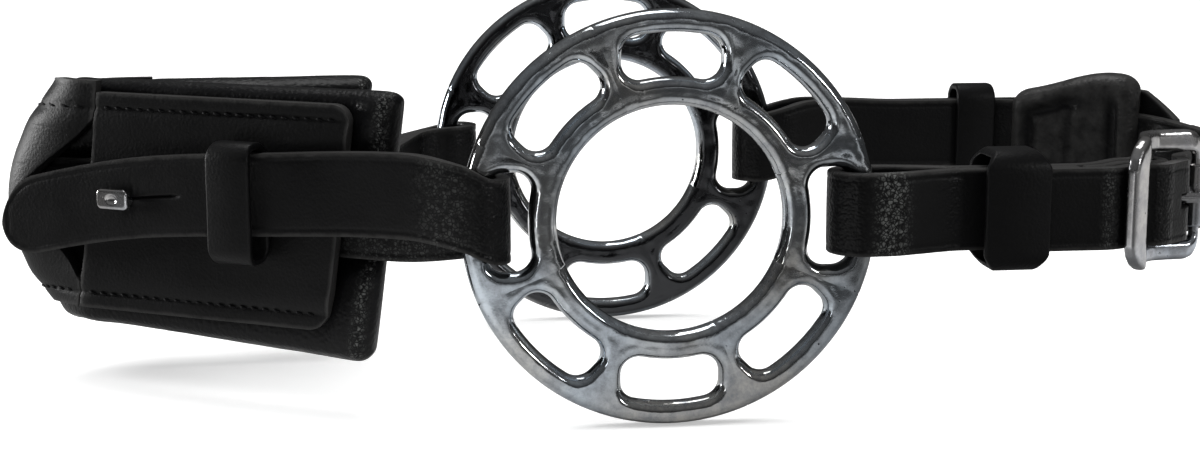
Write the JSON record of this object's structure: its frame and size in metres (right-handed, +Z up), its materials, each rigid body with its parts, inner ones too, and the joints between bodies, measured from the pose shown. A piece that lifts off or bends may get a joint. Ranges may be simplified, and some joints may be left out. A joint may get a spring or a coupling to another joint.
{
  "type": "wheel hackamore",
  "caption": "Bitless hackamore: slotted steel wheels joined by a padded leather noseband in front and a buckled leather curb strap behind.",
  "frame": {"origin": "on the lining at the inside front of the noseband, where it lies on the horse's nose, at strap height", "axes": "+X from the nose back to the chin, +Y to the horse's off side, +Z up towards the headpiece"},
  "size_m": [0.2927, 0.1215, 0.09],
  "materials": {
    "polished_steel": "polished cast stainless steel with fine mottling",
    "buckle_steel": "bright polished steel",
    "strap_leather": "smooth black bridle leather, satin",
    "lining_leather": "soft black grained leather"
  },
  "bodies": {
    "noseband": {"nose_strap": "strap_leather", "nose_pad": "lining_leather", "near_nose_panel": "strap_leather", "off_nose_panel": "strap_leather", "nose_bridge_cover": "strap_leather", "near_nose_keeper": "strap_leather", "off_nose_keeper": "strap_leather", "near_nose_hook_stud": "buckle_steel", "off_nose_hook_stud": "buckle_steel"},
    "near wheel": {"near_wheel": "polished_steel"},
    "off wheel": {"off_wheel": "polished_steel"},
    "curb": {"near_curb_strap": "strap_leather", "chin_strap": "strap_leather", "chin_panel": "strap_leather", "chin_pad": "lining_leather", "buckle_frame": "buckle_steel", "off_curb_hook_stud": "buckle_steel"},
    "near keeper": {"near_curb_keeper": "strap_leather"},
    "off keeper": {"off_curb_keeper": "strap_leather"},
    "roller": {"buckle_roller": "buckle_steel"},
    "tongue": {"buckle_tongue": "buckle_steel"}
  },
  "joints": [
    {"name": "near_wheel_swing", "type": "hinge", "parent": "noseband", "child": "near wheel", "pos_m": [0.0848, -0.0595, 0.0015], "axis": [0, 0, 1], "range_deg": [-25, 25]},
    {"name": "off_wheel_swing", "type": "hinge", "parent": "noseband", "child": "off wheel", "pos_m": [0.0848, 0.0465, 0.0015], "axis": [0, 0, 1], "range_deg": [-25, 25]},
    {"name": "curb_swing", "type": "hinge", "parent": "near wheel", "child": "curb", "pos_m": [0.1698, -0.0595, 0.0015], "axis": [0, 0, 1], "range_deg": [-25, 25]},
    {"name": "near_keeper_slide", "type": "slide", "parent": "curb", "child": "near keeper", "axis": [1, 0, 0], "range_m": [-0.003, 0.0075]},
    {"name": "off_keeper_slide", "type": "slide", "parent": "curb", "child": "off keeper", "axis": [1, 0, 0], "range_m": [-0.025, 0]},
    {"name": "roller_spin", "type": "hinge", "parent": "curb", "child": "roller", "pos_m": [0.24954, -0.04894, 0.0025], "axis": [0, 0, 1], "continuous": true},
    {"name": "tongue_swing", "type": "hinge", "parent": "curb", "child": "tongue", "pos_m": [0.2363, -0.0523, 0.0025], "axis": [0, 0, 1], "range_deg": [-8, 0]}
  ],
  "couplings": [
    {"joint": "off_wheel_swing", "follows": "near_wheel_swing", "ratio": 1},
    {"joint": "curb_swing", "follows": "near_wheel_swing", "ratio": -1}
  ]
}
